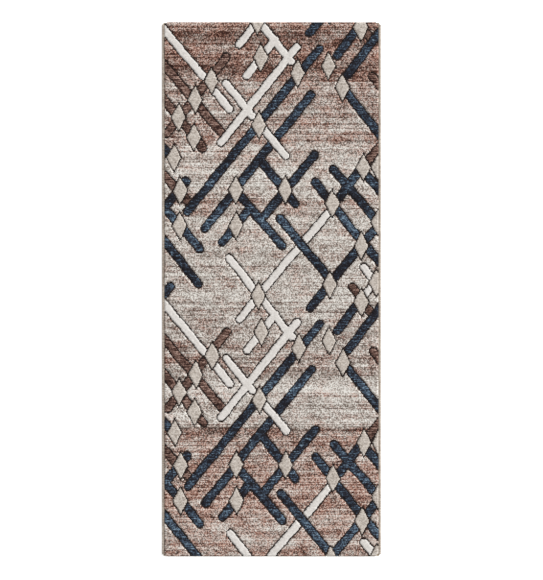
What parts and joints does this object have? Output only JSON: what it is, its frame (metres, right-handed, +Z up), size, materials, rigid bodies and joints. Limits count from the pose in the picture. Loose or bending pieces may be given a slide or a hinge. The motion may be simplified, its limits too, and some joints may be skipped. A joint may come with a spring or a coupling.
{
  "type": "runner rug",
  "caption": "Flat woven pile runner rug with serged long edges, taped hemmed ends and a pattern of crossed bars and diamonds.",
  "frame": {"origin": "on the floor, under the middle of the rug", "axes": "+X across the rug's width, +Y along its length towards the head end, +Z up through the pile"},
  "size_m": [0.8, 1.95, 0.011],
  "materials": {
    "back_coating": "matt latex film",
    "hem_tape": "woven cotton tape",
    "hem_adhesive": "dried hot-melt film",
    "sewing_thread": "polyester sewing thread",
    "care_label": "blank satin ribbon",
    "weft_yarn": "spun jute",
    "warp_yarn": "polyester and cotton warp",
    "selvedge_cord": "twisted filler cord",
    "serging_yarn": "overcast polyester yarn",
    "pile_ground": "heathered frieze pile, rose brown to grey beige",
    "pile_ivory": "ivory cut pile",
    "pile_navy": "navy and teal heather cut pile",
    "pile_brown": "dark brown cut pile with rose streaks",
    "pile_beige": "beige cut pile",
    "pile_outline": "near-black cut pile"
  },
  "bodies": {
    "root": {"back_coating": "back_coating", "head_hem_tape": "hem_tape", "foot_hem_tape": "hem_tape", "head_hem_adhesive": "hem_adhesive", "foot_hem_adhesive": "hem_adhesive", "head_hem_stitches": "sewing_thread", "foot_hem_stitches": "sewing_thread", "care_label": "care_label", "label_stitches": "sewing_thread", "lower_weft_picks": "weft_yarn", "upper_weft_picks": "weft_yarn", "stuffer_warps": "warp_yarn", "chain_warps": "warp_yarn", "left_selvedge_cord": "selvedge_cord", "right_selvedge_cord": "selvedge_cord", "left_serging": "serging_yarn", "right_serging": "serging_yarn", "pile_ground": "pile_ground", "pile_ivory_bars": "pile_ivory", "pile_navy_bars": "pile_navy", "pile_brown_bars": "pile_brown", "pile_beige_diamonds": "pile_beige", "pile_dark_outline": "pile_outline"}
  },
  "joints": []
}
